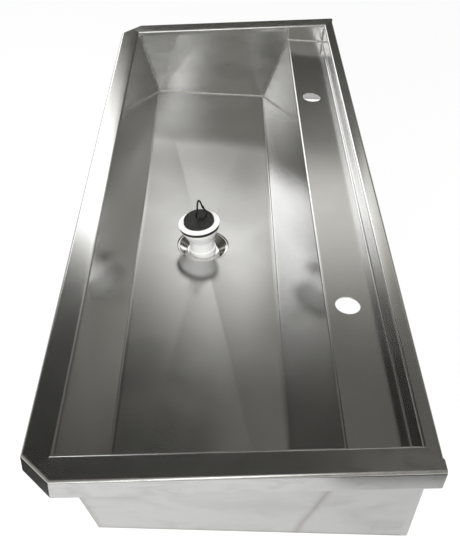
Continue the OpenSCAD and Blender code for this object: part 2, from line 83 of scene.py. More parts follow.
def feed(tree, value, socket):
    if isinstance(value, bpy.types.NodeSocket):
        tree.links.new(value, socket)
    else:
        socket.default_value = value


def calc(tree, operation, *values, clamp=False):
    n = addNode(tree, "ShaderNodeMath", operation=operation, use_clamp=clamp)
    for k, value in enumerate(values):
        feed(tree, value, n.inputs[k])
    return n.outputs[0]


def mapped(tree, value, fromLow, fromHigh, toLow=0.0, toHigh=1.0, smooth=True):
    n = addNode(tree, "ShaderNodeMapRange", interpolation_type="SMOOTHSTEP" if smooth else "LINEAR")
    for k, v in enumerate((value, fromLow, fromHigh, toLow, toHigh)):
        feed(tree, v, n.inputs[k])
    return n.outputs[0]


def mixed(tree, share, a, b):
    n = addNode(tree, "ShaderNodeMix", data_type="RGBA")
    for socket, value in zip((n.inputs[0], n.inputs[6], n.inputs[7]), (share, a, b)):
        feed(tree, value, socket)
    return n.outputs[2]


def noise(tree, place, scale, detail=2.0, rough=0.5, distort=0.0):
    n = addNode(tree, "ShaderNodeTexNoise")
    feed(tree, place, n.inputs["Vector"])
    for key, value in (("Scale", scale), ("Detail", detail), ("Roughness", rough), ("Distortion", distort)):
        feed(tree, value, n.inputs[key])
    return n.outputs["Fac"]


def stretched(tree, place, scale, shift=(0, 0, 0)):
    n = addNode(tree, "ShaderNodeMapping")
    for key, value in (("Vector", place), ("Scale", scale), ("Location", shift)):
        feed(tree, value, n.inputs[key])
    return n.outputs[0]


def ramp(tree, value, stops):
    n = addNode(tree, "ShaderNodeValToRGB")
    n.color_ramp.interpolation = "LINEAR"
    spots = n.color_ramp.elements
    while len(spots) < len(stops):
        spots.new(0.5)
    for spot, (at, tone) in zip(spots, stops):
        spot.position = at
        spot.color = (tone, tone, tone, 1)
    feed(tree, value, n.inputs[0])
    return n.outputs[0]


def newGroup(name, ins, outs):
    group = bpy.data.node_groups.new(name, "ShaderNodeTree")
    for label, kind, value in ins:
        s = group.interface.new_socket(label, in_out="INPUT", socket_type="NodeSocket" + kind)
        if value is not None:
            s.default_value = value
    for label, kind in outs:
        group.interface.new_socket(label, in_out="OUTPUT", socket_type="NodeSocket" + kind)
    return group, addNode(group, "NodeGroupInput").outputs, addNode(group, "NodeGroupOutput").inputs


def useGroup(tree, group, values):
    n = addNode(tree, "ShaderNodeGroup", node_tree=group)
    for key, value in values.items():
        feed(tree, value, n.inputs[key])
    return n.outputs


# Plain white surroundings for the eye, and a room of soft tones that only gloss shows.
# Ways and heights are angles in degrees: way 0 is -X, straight ahead of the camera, and height 0 is level
roomLook = {
    "dome": 0.95,                          # light that matt surfaces get from all around
    "darkTint": (1.02, 1.0, .91, 1),       # the darker tones lean to olive
    "tintFades": (0.2, 2.2),               # tones where that lean starts to fade and where it is gone
    "tones": ((-90, .9), (-2, .9), (4, .12), (20, .05), (24, .07), (28, .12), (33, .06), (50, .03),
              (62, .09), (74, .36), (90, .50)),          # ahead: height, tone
    "otherTones": ((-90, .9), (-2, .9), (6, .35), (20, .42), (33, .36), (50, .3), (70, .28),
                   (90, .45)),                           # to the sides and behind: height, tone
    "aheadEnds": (45, 90),                 # ways over which the one gives way to the other
    # One long bright band ahead: its tone by height, its share by way, and the degrees that are
    # added to a height, by way, before its tone is read
    "band": ((24, 0), (29, 0), (33.6, .03), (35.1, 1.05), (36.2, 1.2), (39, 1.05), (41, .62),
             (43, .26), (45, .05), (47, 0)),
    "bandStrength": 1.6,
    "bandByWay": ((-60, 0), (-28, .1), (-19, .3), (-12, .6), (-6, .62), (-1, .95), (2, 1), (7, .8),
                  (9, .55), (22, .52), (32, .25), (50, .1)),
    "bandShift": ((-90, 25.5), (-21, 8.2), (-16, 2.6), (-11, 2.2), (-7, 2.6), (-3, 1.0), (0, 0),
                  (2, -.8), (5, -.8), (8, 2.4), (90, 12)),
    "shiftRange": (-10, 30),
    # Patches, each with its ways, heights and strength. The tall window's heights shift as the band's do
    "tallWindow": ((-36, -12.8), (18, 39.5), 2.3),
    "patchesAhead": (((5, 34), (38, 62), 0.10), ((21, 37), (19, 30), 0.32)),
    "patchesBehind": (((-173.5, -162), (19, 25.5), 4.4), ((-170, -159), (7, 19), 1.0),
                      ((143, 157), (8, 18), 3.6), ((-174, -162), (38, 84), 3.5)),
    "softEdge": 1.5,                       # half the width of a patch's edge
    "softestEdge": 4.0,                    # the same for the patches ahead
}


def makeRoom(v):
    world = bpy.data.worlds.new("room")
    bpy.context.scene.world = world
    world.cycles.sampling_method = "NONE"
    world.use_nodes = True
    tree = world.node_tree
    tree.nodes.clear()
    place = addNode(tree, "ShaderNodeTexCoord").outputs["Generated"]
    split = addNode(tree, "ShaderNodeSeparateXYZ")
    tree.links.new(place, split.inputs[0])
    x, y, z = split.outputs
    degrees = 180 / math.pi
    way = calc(tree, "MULTIPLY", calc(tree, "ARCTAN2", y, calc(tree, "MULTIPLY", x, -1.0)), degrees)
    height = calc(tree, "MULTIPLY", calc(tree, "ARCSINE", z), degrees)

    def byAngle(angle, stops):
        share = mapped(tree, angle, -90, 90, smooth=False)
        return ramp(tree, share, [((a + 90) / 180, t) for a, t in stops])

    low, high = v["shiftRange"]
    shift = byAngle(way, [(w, (d - low) / (high - low)) for w, d in v["bandShift"]])
    shifted = calc(tree, "ADD", height, mapped(tree, shift, 0, 1, low, high, smooth=False))

    def patch(ways, heights, strength, soft=v["softEdge"], level=height):
        share = strength
        for value, (start, end) in ((way, ways), (level, heights)):
            share = calc(tree, "MULTIPLY", share, mapped(tree, value, start - soft, start + soft))
            share = calc(tree, "MULTIPLY", share, mapped(tree, value, end + soft, end - soft))
        return share

    band = calc(tree, "MULTIPLY", byAngle(shifted, v["band"]), byAngle(way, v["bandByWay"]))
    front = calc(tree, "ADD", byAngle(height, v["tones"]), calc(tree, "MULTIPLY", band, v["bandStrength"]))
    front = calc(tree, "ADD", front, patch(*v["tallWindow"], level=shifted))
    for spot in v["patchesAhead"]:
        front = calc(tree, "ADD", front, patch(*spot, soft=v["softestEdge"]))
    others = byAngle(height, v["otherTones"])
    for spot in v["patchesBehind"]:
        others = calc(tree, "ADD", others, patch(*spot))
    aside = mapped(tree, calc(tree, "ABSOLUTE", way), *v["aheadEnds"])
    tone = mixed(tree, aside, front, others)
    olive = mixed(tree, mapped(tree, tone, *v["tintFades"]), v["darkTint"], (1, 1, 1, 1))
    both = addNode(tree, "ShaderNodeMix", data_type="RGBA", blend_type="MULTIPLY")
    for k, value in ((0, 1.0), (6, tone), (7, olive)):
        feed(tree, value, both.inputs[k])
    tone = both.outputs[2]
    rays = addNode(tree, "ShaderNodeLightPath").outputs
    # Matt surfaces get the dome's light straight and by way of the metal around them
    matt = calc(tree, "MAXIMUM", rays["Is Diffuse Ray"], rays["Diffuse Depth"], clamp=True)
    tone = mixed(tree, matt, tone, (v["dome"],) * 3 + (1,))
    tone = mixed(tree, rays["Is Camera Ray"], tone, (1, 1, 1, 1))
    light = addNode(tree, "ShaderNodeBackground")
    tree.links.new(tone, light.inputs["Color"])
    out = addNode(tree, "ShaderNodeOutputWorld")
    tree.links.new(light.outputs[0], out.inputs["Surface"])


makeRoom(roomLook)

lampLook = {
    "overhead": ((-0.5, -0.6, 2.2), 2.4, 6),     # place, size in metres and power of one wide soft lamp
    "low": ((2.1, -0.7, 0.75), 1.4, 45),         # and one lower, on the camera's side
    "aim": (0, -0.23, 0),
}
floorLook = {
    "height": -0.745, "size": 9.0, "paint": 0.56, "roughness": 0.9,
    "lift": 0.41,                                # what the camera alone sees on top of the paint
}
# Dark cards just over the floor, seen by gloss alone, keep some faces from washing out
flagLook = {
    "cards": {"besideCorner": ((0.1, -2.2), (1.4, -0.88)), "behindCamera": ((1.18, 0.06), (3.5, 1.7))},
    "height": -0.735, "tone": 0.03,
}


def makeLamps(v):
    for name in ("overhead", "low"):
        place, size, power = v[name]
        data = bpy.data.lights.new(name + "Lamp", "AREA")
        data.shape, data.size, data.energy = "SQUARE", size, power
        lamp = bpy.data.objects.new(name + "Lamp", data)
        lamp.location = place
        lamp.visible_glossy = False
        bpy.context.scene.collection.objects.link(lamp)
        aim = Vector(v["aim"]) - lamp.location
        lamp.rotation_euler = aim.to_track_quat("-Z", "Y").to_euler()


def makeCard(name, low, high, z, material):
    (x0, y0), (x1, y1) = low, high
    mesh = bpy.data.meshes.new(name)
    mesh.from_pydata([(x0, y0, z), (x1, y0, z), (x1, y1, z), (x0, y1, z)], [], [(0, 1, 2, 3)])
    mesh.materials.append(material)
    card = bpy.data.objects.new(name, mesh)
    bpy.context.scene.collection.objects.link(card)
    return card


def makePaint(name, tone, roughness):
    m = bpy.data.materials.new(name)
    m.use_nodes = True
    s = m.node_tree.nodes["Principled BSDF"].inputs
    s["Base Color"].default_value = (tone, tone, tone, 1)
    s["Roughness"].default_value = roughness
    return m, m.node_tree, s


def makeFloor(v):
    m, tree, s = makePaint("floorPaint", v["paint"], v["roughness"])
    s["Specular IOR Level"].default_value = 0.0
    s["Emission Color"].default_value = (1, 1, 1, 1)
    rays = addNode(tree, "ShaderNodeLightPath").outputs
    feed(tree, calc(tree, "MULTIPLY", rays["Is Camera Ray"], v["lift"]), s["Emission Strength"])
    half = v["size"] / 2
    floor = makeCard("floor", (-half, -half), (half, half), v["height"], m)


def makeFlags(v):
    m = makePaint("darkCard", v["tone"], 1.0)[0]
    for name, (low, high) in v["cards"].items():
        flag = makeCard(name, low, high, v["height"], m)
        flag.visible_camera = flag.visible_diffuse = flag.visible_shadow = False
        flag.visible_transmission = flag.visible_volume_scatter = False


makeLamps(lampLook)
makeFloor(floorLook)
makeFlags(flagLook)
print("room, lamps and floor made")

steelLook = {
    "tone": (.615, .615, .61, 1),
    "smudgeTone": (.45, .44, .42, 1), "stainTone": (.42, .415, .405, 1), "heatAndEdgeShadeTone": (.34, .31, .27, 1),
    "grainHeight": 0.0000022,              # in metres
    "waves": 0.00028, "waveScale": 4.0,    # the slow buckling of thin sheet: depth in metres, waves per metre
}


# Shared surface effects, each one node group with its own sockets
def makeSheetGroup():
    group, i, o = newGroup("rolledSheet", [
        ("Position", "Vector", None), ("Grain", "Float", 1.0), ("Haze", "Float", 1.0),
        ("Smudge", "Float", 1.0), ("Stain", "Float", 0.0), ("Stain Scale", "Float", 16.0),
        ("Roughness", "Float", 0.24), ("Across", "Vector", (6, 90, 90)),
        ("Tone", "Color", (.615, .615, .61, 1)), ("Smudge Tone", "Color", (.45, .44, .42, 1)),
        ("Stain Tone", "Color", (.42, .415, .405, 1)),
        ("Grain Height", "Float", 0.000002)],
        [("Color", "Color"), ("Roughness", "Float"), ("Height", "Float")])
    t = group
    grain = noise(t, stretched(t, i["Position"], i["Across"]), 16.0, 2.0, 0.5)
    fine = noise(t, stretched(t, i["Position"], i["Across"], shift=(3, 1, 2)), 60.0, 2.0, 0.5)
    haze = noise(t, i["Position"], 9.0, 3.0, 0.55, 0.6)
    spots = noise(t, stretched(t, i["Position"], (1, 1.5, 1), shift=(5, 2, 1)), 30.0, 4.0, 0.62, 0.9)
    wipe = calc(t, "MULTIPLY", mapped(t, spots, 0.55, 0.8), mapped(t, haze, 0.5, 0.75))
    grainPart = calc(t, "MULTIPLY", calc(t, "SUBTRACT", fine, 0.5), i["Grain"])
    hazePart = calc(t, "MULTIPLY", calc(t, "SUBTRACT", haze, 0.5), i["Haze"])
    wipePart = calc(t, "MULTIPLY", wipe, i["Smudge"])
    r = calc(t, "ADD", i["Roughness"], calc(t, "MULTIPLY", grainPart, 0.05))
    r = calc(t, "ADD", r, calc(t, "MULTIPLY", hazePart, 0.08))
    r = calc(t, "ADD", r, calc(t, "MULTIPLY", wipePart, 0.06), clamp=True)
    feed(t, r, o["Roughness"])
    dark = mixed(t, calc(t, "MULTIPLY", wipePart, 0.12), i["Tone"], i["Smudge Tone"])
    cloudy = stretched(t, i["Position"], (1.2, 0.6, 1.6), shift=(2, 7, 3))
    cloud = noise(t, cloudy, i["Stain Scale"], 5.0, 0.6, 0.7)
    cloudPart = calc(t, "MULTIPLY", mapped(t, cloud, 0.44, 0.72), i["Stain"])
    dark = mixed(t, cloudPart, dark, i["Stain Tone"])
    lift = calc(t, "ADD", 1.0, calc(t, "MULTIPLY", grainPart, 0.10))
    scale = addNode(t, "ShaderNodeVectorMath", operation="SCALE")
    t.links.new(dark, scale.inputs[0])
    t.links.new(lift, scale.inputs["Scale"])
    t.links.new(scale.outputs[0], o["Color"])
    both = calc(t, "ADD", grain, calc(t, "MULTIPLY", fine, 0.5))
    feed(t, calc(t, "MULTIPLY", both, calc(t, "MULTIPLY", i["Grain"], i["Grain Height"])), o["Height"])
    return group


def makeWaveGroup():
    group, i, o = newGroup("sheetWaves", [
        ("Position", "Vector", None), ("Depth", "Float", 0.0004), ("Scale", "Float", 5.0)],
        [("Height", "Float")])
    t = group
    broad = noise(t, i["Position"], i["Scale"], 1.0, 0.4, 0.3)
    feed(t, calc(t, "MULTIPLY", broad, i["Depth"]), o["Height"])
    return group


# A darkening along a line: heat tint at the weld seams, and painted shade along the end plate's edges
def makeSeamAndEdgeGroup():
    group, i, o = newGroup("seamTintAndEdgeShade", [
        ("Position", "Vector", None), ("Point", "Vector", (0, 0, 0)), ("Normal", "Vector", (1, 0, 0)),
        ("Width", "Float", 0.01), ("Strength", "Float", 0.5)],
        [("Mask", "Float")])
    t = group
    away = addNode(t, "ShaderNodeVectorMath", operation="SUBTRACT")
    t.links.new(i["Position"], away.inputs[0])
    t.links.new(i["Point"], away.inputs[1])
    dot = addNode(t, "ShaderNodeVectorMath", operation="DOT_PRODUCT")
    t.links.new(away.outputs[0], dot.inputs[0])
    t.links.new(i["Normal"], dot.inputs[1])
    wobble = calc(t, "MULTIPLY", calc(t, "SUBTRACT", noise(t, i["Position"], 24.0, 3.0), 0.5), i["Width"])
    d = calc(t, "ABSOLUTE", calc(t, "ADD", dot.outputs["Value"], wobble))
    near = calc(t, "SUBTRACT", 1.0, calc(t, "DIVIDE", d, i["Width"]), clamp=True)
    feed(t, calc(t, "MULTIPLY", calc(t, "MULTIPLY", near, near), i["Strength"]), o["Mask"])
    return group


sheetGroup = makeSheetGroup()
waveGroup = makeWaveGroup()
seamAndEdgeGroup = makeSeamAndEdgeGroup()
print("shared node groups made")


def newMaterial(name, **constants):
    m = bpy.data.materials.new(name)
    m.use_nodes = True
    shader = m.node_tree.nodes["Principled BSDF"]
    for key, value in constants.items():
        shader.inputs[key].default_value = value
    place = addNode(m.node_tree, "ShaderNodeTexCoord").outputs["Object"]
    return m, m.node_tree, shader.inputs, place


# Heights are real ones, in metres
def bumped(tree, height):
    n = addNode(tree, "ShaderNodeBump")
    n.inputs["Strength"].default_value = 1.0
    n.inputs["Distance"].default_value = 1.0
    feed(tree, height, n.inputs["Height"])
    return n.outputs[0]


# The grain's lines run along the axis where "across" is small. A bow is a sheet's slow curve: the y of
# its middle, and its height per square metre away from there
def makeSteel(name, across, roughness, grain=1.0, smudge=1.0, stain=0.0, stainScale=16.0, bow=None, seamTintsAndEdgeShades=()):
    m, t, s, place = newMaterial(name, Metallic=1.0)
    sheet = useGroup(t, sheetGroup, {
        "Position": place, "Across": across, "Roughness": roughness, "Grain": grain, "Haze": 1.0,
        "Smudge": smudge, "Stain": stain, "Stain Scale": stainScale, "Tone": steelLook["tone"],
        "Smudge Tone": steelLook["smudgeTone"], "Stain Tone": steelLook["stainTone"],
        "Grain Height": steelLook["grainHeight"]})
    wave = useGroup(t, waveGroup, {
        "Position": place, "Depth": steelLook["waves"], "Scale": steelLook["waveScale"]})
    color, rough = sheet["Color"], sheet["Roughness"]
    for point, normal, width, strength in seamTintsAndEdgeShades:
        lineMask = useGroup(t, seamAndEdgeGroup, {
            "Position": place, "Point": point, "Normal": normal, "Width": width, "Strength": strength})
        # The heat colour darkens the weld seams as heat tint, and the plate's bottom and back edges as
        # painted shade
        color = mixed(t, lineMask["Mask"], color, steelLook["heatAndEdgeShadeTone"])
        rough = calc(t, "ADD", rough, calc(t, "MULTIPLY", lineMask["Mask"], 0.18), clamp=True)
    feed(t, color, s["Base Color"])
    feed(t, rough, s["Roughness"])
    height = calc(t, "ADD", sheet["Height"], wave["Height"])
    if bow:
        middle, depth = bow
        split = addNode(t, "ShaderNodeSeparateXYZ")
        t.links.new(place, split.inputs[0])
        aside = calc(t, "SUBTRACT", split.outputs[1], middle)
        height = calc(t, "ADD", height, calc(t, "MULTIPLY", calc(t, "MULTIPLY", aside, aside), depth))
    feed(t, bumped(t, height), s["Normal"])
    return m


def show(names, material):
    for name in names:
        data = nodes[name].data
        data.materials.clear()
        data.materials.append(material)


# CAD meshes come in split at every face, so a modifier joins them and keeps only real edges sharp
def makeSmoothing():
    tree = bpy.data.node_groups.new("joinAndSmooth", "GeometryNodeTree")
    tree.interface.new_socket("Geometry", in_out="INPUT", socket_type="NodeSocketGeometry")
    tree.interface.new_socket("Angle", in_out="INPUT", socket_type="NodeSocketFloat")
    tree.interface.new_socket("Geometry", in_out="OUTPUT", socket_type="NodeSocketGeometry")
    i = addNode(tree, "NodeGroupInput")
    o = addNode(tree, "NodeGroupOutput")
    drop = addNode(tree, "GeometryNodeRemoveAttribute")
    drop.inputs["Name"].default_value = "custom_normal"
    merge = addNode(tree, "GeometryNodeMergeByDistance")
    merge.inputs["Distance"].default_value = 0.00001
    rounded = addNode(tree, "GeometryNodeSetShadeSmooth", domain="FACE")
    edge = addNode(tree, "GeometryNodeInputMeshEdgeAngle")
    test = addNode(tree, "FunctionNodeCompare", data_type="FLOAT", operation="LESS_THAN")
    sharp = addNode(tree, "GeometryNodeSetShadeSmooth", domain="EDGE")
    links = tree.links
    links.new(i.outputs[0], drop.inputs[0])
    links.new(drop.outputs[0], merge.inputs[0])
    links.new(merge.outputs[0], rounded.inputs[0])
    links.new(rounded.outputs[0], sharp.inputs[0])
    links.new(edge.outputs["Unsigned Angle"], test.inputs[0])
    links.new(i.outputs["Angle"], test.inputs[1])
    links.new(test.outputs[0], sharp.inputs["Shade Smooth"])
    links.new(sharp.outputs[0], o.inputs[0])
    return tree


smoothing = makeSmoothing()


def keepEdges(piece, angle):
    mod = piece.modifiers.new("joinAndSmooth", "NODES")
    mod.node_group = smoothing
    key = [s.identifier for s in smoothing.interface.items_tree if s.name == "Angle"][0]
    mod[key] = math.radians(angle)


def smooth(names, angle=25):
    for name in names:
        keepEdges(nodes[name], angle)
        flat = nodes[name].modifiers.new("flatFacesFirst", "WEIGHTED_NORMAL")
        flat.keep_sharp = True
        flat.weight = 100


# Heat marks where the basin is welded on inside, and painted shade along the plate's cut edges below and
# behind:
# a point, the direction away from the line, half the mark's width, strength
plateFoot = min(c[2] for c in nodes["right_end_plate"].bound_box)
plateBack = max(c[1] for c in nodes["right_end_plate"].bound_box)
seamsAndEdgeShade = (
    ((0, -0.1395, -0.074), (0, 0.954, -0.299), 0.010, 0.45),
    ((0, -0.379, -0.074), (0, 0.952, 0.307), 0.009, 0.35),
    ((0, 0, -0.074), (0, 0, 1), 0.006, 0.25),
    # These last two are painted shade along the plate's bottom and back edges, not heat marks
    ((0, 0, plateFoot), (0, 0, 1), 0.0028, 0.9),
    ((0, plateBack, 0), (0, 1, 0), 0.0028, 0.9),
)
steelNodes = frame["record"]["behaviour"]["bodies"]["trough"]
rimSteel = makeSteel("rimSteel", (5, 60, 60), 0.15, grain=0.25, smudge=0.4)
endSteel = makeSteel("endSteel", (60, 5, 60), 0.19, smudge=2.2, stain=0.4, bow=(-0.26, -0.26), seamTintsAndEdgeShades=seamsAndEdgeShade)
apronSteel = makeSteel("apronSteel", (60, 5, 60), 0.19, smudge=2.2, stain=0.4, stainScale=45.0)
wallSteel = makeSteel("wallSteel", (4, 60, 60), 0.17, smudge=0.5)
baseSteel = makeSteel("baseSteel", (14, 20, 20), 0.20, grain=2.2, smudge=0.25, bow=(-0.26, -0.23))
show(steelNodes, wallSteel)
show(["front_rim", "rear_rim", "tap_ledge", "ledge_riser"], rimSteel)
show(["right_end_plate", "left_end_plate"], endSteel)
show(["right_rim", "left_rim", "right_corner_apron", "left_corner_apron"], apronSteel)
smooth(steelNodes)
print("steel sheets dressed")


def makePiece(name, points, faces, material, body, slot, *stands):
    mesh = bpy.data.meshes.new(name)
    mesh.from_pydata([tuple(p) for p in points], [], faces)
    mesh.polygons.foreach_set("use_smooth", [True] * len(faces))
    mesh.materials.append(material)
    mesh.update()
    piece = bpy.data.objects.new(name, mesh)
    bpy.context.scene.collection.objects.link(piece)
    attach(piece, body)
    if stands:
        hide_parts(*stands)
    return piece


# The base is pressed along four creases that run from near its corners to the drain dish
baseShape = {
    "left": -0.563, "right": 0.563, "front": -0.373, "back": -0.1455,
    "edgeHeight": -0.074, "fall": 0.0045,
    "drain": (0.0, -0.26575), "dishRadius": 0.0435,
    "step": 0.0022,              # width of the pressed step round the dish
    "creaseIn": 0.022,           # how far the front right crease starts behind its corner
    "creaseRound": 0.0016,       # half width over which two facets meet
    "sheet": 0.0015,
    # The mesh follows each crease in close rows, and the step in close rings: distances in metres
    "besideCrease": (0, .0004, .0008, .0013, .0019, .0026, .0034),
    "outsideDish": (0, .0004, .0008, .0012, .0016, .0020, .0024, .003, .0045, .007, .012, .020),
    "rowsOut": 16,               # rows from the rings to the edge
    "turnOver": 2.6, "keepOff": 6,         # degrees between two rays, and between a ray and a crease
}


def makeBase(v):
    cx, cy = v["drain"]
    ahead, behind = cy - v["front"], v["back"] - cy
    share = v["creaseIn"] / ahead
    farRight = v["right"] / (1 - share)
    dishTop = v["edgeHeight"] - v["fall"] * (1 - v["dishRadius"] / v["right"])
    corners = [(v["right"], v["front"] + v["creaseIn"]), (v["right"], v["back"] - share * behind),
               (v["left"], v["back"]), (v["left"], v["front"])]

    def softMin(a, b):
        k = v["creaseRound"] / ahead
        h = max(k - abs(a - b), 0) / k
        return min(a, b) - h * h * k / 4

    def height(x, y):
        along = softMin((y - v["front"]) / ahead, (v["back"] - y) / behind)
        ends = softMin((x - v["left"]) / -v["left"], (farRight - x) / farRight)
        z = v["edgeHeight"] - v["fall"] * softMin(along, ends)
        r = math.hypot(x - cx, y - cy)
        t = min(1, max(0, (r - v["dishRadius"]) / v["step"]))
        t = t * t * (3 - 2 * t)
        return dishTop * (1 - t) + z * t

    # Rays run out from the drain, each with its angle and how far it stands beside the crease
    rays = []
    creases = sorted(math.atan2(py - cy, px - cx) % (2 * math.pi) for px, py in corners)
    for k, a in enumerate(creases):
        rays += [(a, -d) for d in reversed(v["besideCrease"][1:])] + [(a, d) for d in v["besideCrease"]]
        end = creases[(k + 1) % 4] + (2 * math.pi if k == 3 else 0)
        low, high = a + math.radians(v["keepOff"]), end - math.radians(v["keepOff"])
        steps = max(2, round((high - low) / math.radians(v["turnOver"])))
        if high > low:
            rays += [(low + (high - low) * j / steps, 0) for j in range(steps + 1)]
    radii = [v["dishRadius"] + d for d in v["outsideDish"]]
    shares = [(j + 1) / v["rowsOut"] for j in range(v["rowsOut"])]
    points, columns = [], []
    for a, d in rays:
        ux, uy = math.cos(a), math.sin(a)
        ox, oy = cx - uy * d, cy + ux * d
        runs = [((v["right"] if ux > 0 else v["left"]) - ox) / ux] if abs(ux) > 1e-9 else []
        if abs(uy) > 1e-9:
            runs.append(((v["back"] if uy > 0 else v["front"]) - oy) / uy)
        reach = min(runs)
        steps = [math.sqrt(r * r - d * d) for r in radii]
        start = steps[-1]
        steps += [start + (reach - start) * q for q in shares]
        column = []
        for q in steps:
            x, y = ox + ux * q, oy + uy * q
            column.append(len(points))
            points.append((x, y, height(x, y)))
        columns.append(column)
    faces = []
    for k in range(len(columns)):
        a, b = columns[k], columns[(k + 1) % len(columns)]
        faces += [(a[j], a[j + 1], b[j + 1], b[j]) for j in range(len(a) - 1)]
    # The rectangle's own corners close the gap between two rays that end on different sides
    for x, y in [(v["right"], v["back"]), (v["left"], v["back"]),
                 (v["left"], v["front"]), (v["right"], v["front"])]:
        for k in range(len(columns)):
            p, q = points[columns[k][-1]], points[columns[(k + 1) % len(columns)][-1]]
            onSide = [abs(r[0] - x) < 1e-7 or abs(r[1] - y) < 1e-7 for r in (p, q)]
            if all(onSide) and (abs(p[0] - x) < 1e-7) != (abs(q[0] - x) < 1e-7):
                points.append((x, y, height(x, y)))
                faces.append((columns[k][-1], len(points) - 1, columns[(k + 1) % len(columns)][-1]))
    piece = makePiece("basinBase", points, faces, baseSteel, "trough", "stainless", "basin_base")
    thick = piece.modifiers.new("sheetThickness", "SOLIDIFY")
    thick.thickness, thick.offset = v["sheet"], -1
    keepEdges(piece, 30)


makeBase(baseShape)
print("creased base made")

# Weld beads run down each end seam, a little uneven, as laid by hand
weldShape = {
    "end": 0.563, "size": 0.0024, "squat": 0.8, "sunk": 0.0001,
    "ripple": 0.0021, "rippleDepth": 0.07,       # length of a ripple, and its depth as a share of the size
    "swellLength": 0.006, "uneven": 0.22,        # the same for the slower swelling of the bead
    "line": [(-.4209, .05585), (-.379, -.074), (-.373, -.074), (-.1455, -.074), (-.1395, -.074),
             (-.096, .065), (-.020, .065), (-.020, .0931)],      # y, z down the walls and over the ledge
    "foldRadius": 0.0028, "step": 0.0008,
    "ledgeSeam": (-0.0968, 0.0655, 0.0915),      # y, lowest and highest z
    "ledgeSize": 0.0013, "ledgeSquat": 0.55, "ledgeSteps": 40,
}
weldLook = {"tone": (.90, .89, .87, 1), "dull": (.74, .72, .69, 1), "heat": (.50, .44, .36, 1)}


def makeWeldSteel(v):
    m, t, s, place = newMaterial("weldSteel", Metallic=1.0)
    tone = noise(t, place, 260.0, 3.0, 0.6)
    heat = noise(t, place, 40.0, 2.0, 0.5)
    color = mixed(t, mapped(t, tone, 0.35, 0.7), v["tone"], v["dull"])
    color = mixed(t, mapped(t, heat, 0.55, 0.8, 0.0, 0.5), color, v["heat"])
    feed(t, color, s["Base Color"])
    feed(t, mapped(t, tone, 0.3, 0.7, 0.34, 0.55), s["Roughness"])
    feed(t, bumped(t, calc(t, "MULTIPLY", tone, 0.00010)), s["Normal"])
    return m


weldSteel = makeWeldSteel(weldLook)


def roundedLine(points, radius, step):
    corners = [Vector(p) for p in points]
    path = [corners[0]]
    for a, b, c in zip(corners, corners[1:], corners[2:]):
        u, w = (b - a).normalized(), (c - b).normalized()
        angle = u.angle(w)
        if angle < 0.02:
            path.append(b)
            continue
        cut = radius * math.tan(angle / 2)
        start, end = b - u * cut, b + w * cut
        for k in range(7):
            t = k / 6
            path.append(start.lerp(b, t).lerp(b.lerp(end, t), t))
    path.append(corners[-1])
    fine = []
    for a, b in zip(path, path[1:]):
        n = max(1, math.ceil((b - a).length / step))
        fine += [a.lerp(b, k / n) for k in range(n)]
    return fine + [path[-1]]


def makeWelds(v, side, seed):
    chance = random.Random(seed)
    points, faces = [], []
    line = roundedLine(v["line"], v["foldRadius"], v["step"])
    swell = [chance.uniform(-1, 1) for _ in range(400)]      # more than the line is long
    walked, sides = 0.0, 6
    for k, p in enumerate(line):
        ahead = line[min(k + 1, len(line) - 1)] - line[max(k - 1, 0)]
        up = Vector((-ahead[1], ahead[0])).normalized()
        walked += (p - line[max(k - 1, 0)]).length
        spot = walked / v["swellLength"]
        drift = swell[int(spot)] * (1 - spot % 1) + swell[int(spot) + 1] * (spot % 1)
        ripple = v["rippleDepth"] * math.sin(walked / v["ripple"] * 2 * math.pi)
        r = v["size"] * (1 + v["uneven"] * drift + ripple)
        for j in range(sides + 1):
            a = math.pi / 2 * j / sides
            q = p + up * (r * math.sin(a) * v["squat"] - v["sunk"])
            points.append((side * (v["end"] - r * math.cos(a) + v["sunk"]), q[0], q[1]))
        if k:
            low = (k - 1) * (sides + 1)
            for j in range(sides):
                f = (low + j, low + j + 1, low + sides + 2 + j, low + sides + 1 + j)
                faces.append(f if side > 0 else f[::-1])
    y, low, high = v["ledgeSeam"]
    first, count = len(points), v["ledgeSteps"]
    for k in range(count + 1):
        r = v["ledgeSize"] * (1 + v["uneven"] * chance.uniform(-1, 1))
        for j in range(5):
            a = math.pi * j / 4
            points.append((side * (v["end"] + v["sunk"] - r * v["ledgeSquat"] * math.sin(a)),
                           y + r * math.cos(a), low + (high - low) * k / count))
        if k:
            b = first + (k - 1) * 5
            for j in range(4):
                f = (b + j, b + j + 1, b + 6 + j, b + 5 + j)
                faces.append(f if side > 0 else f[::-1])
    name = "right" if side > 0 else "left"
    makePiece(name + "WeldBeads", points, faces, weldSteel, "trough", "stainless", name + "_welds")


makeWelds(weldShape, 1, 11)      # side, seed
makeWelds(weldShape, -1, 23)
print("weld beads laid")

# The dish is spun and polished, so its marks run round the drain
dishLook = {
    "tone": (.72, .71, .69, 1), "marks": (.52, .50, .47, 1), "roughness": 0.06,
    "center": (0.0, -0.26575, -0.085), "spinScale": 900.0, "spinHeight": 0.00002, "dents": 0.00012,
}


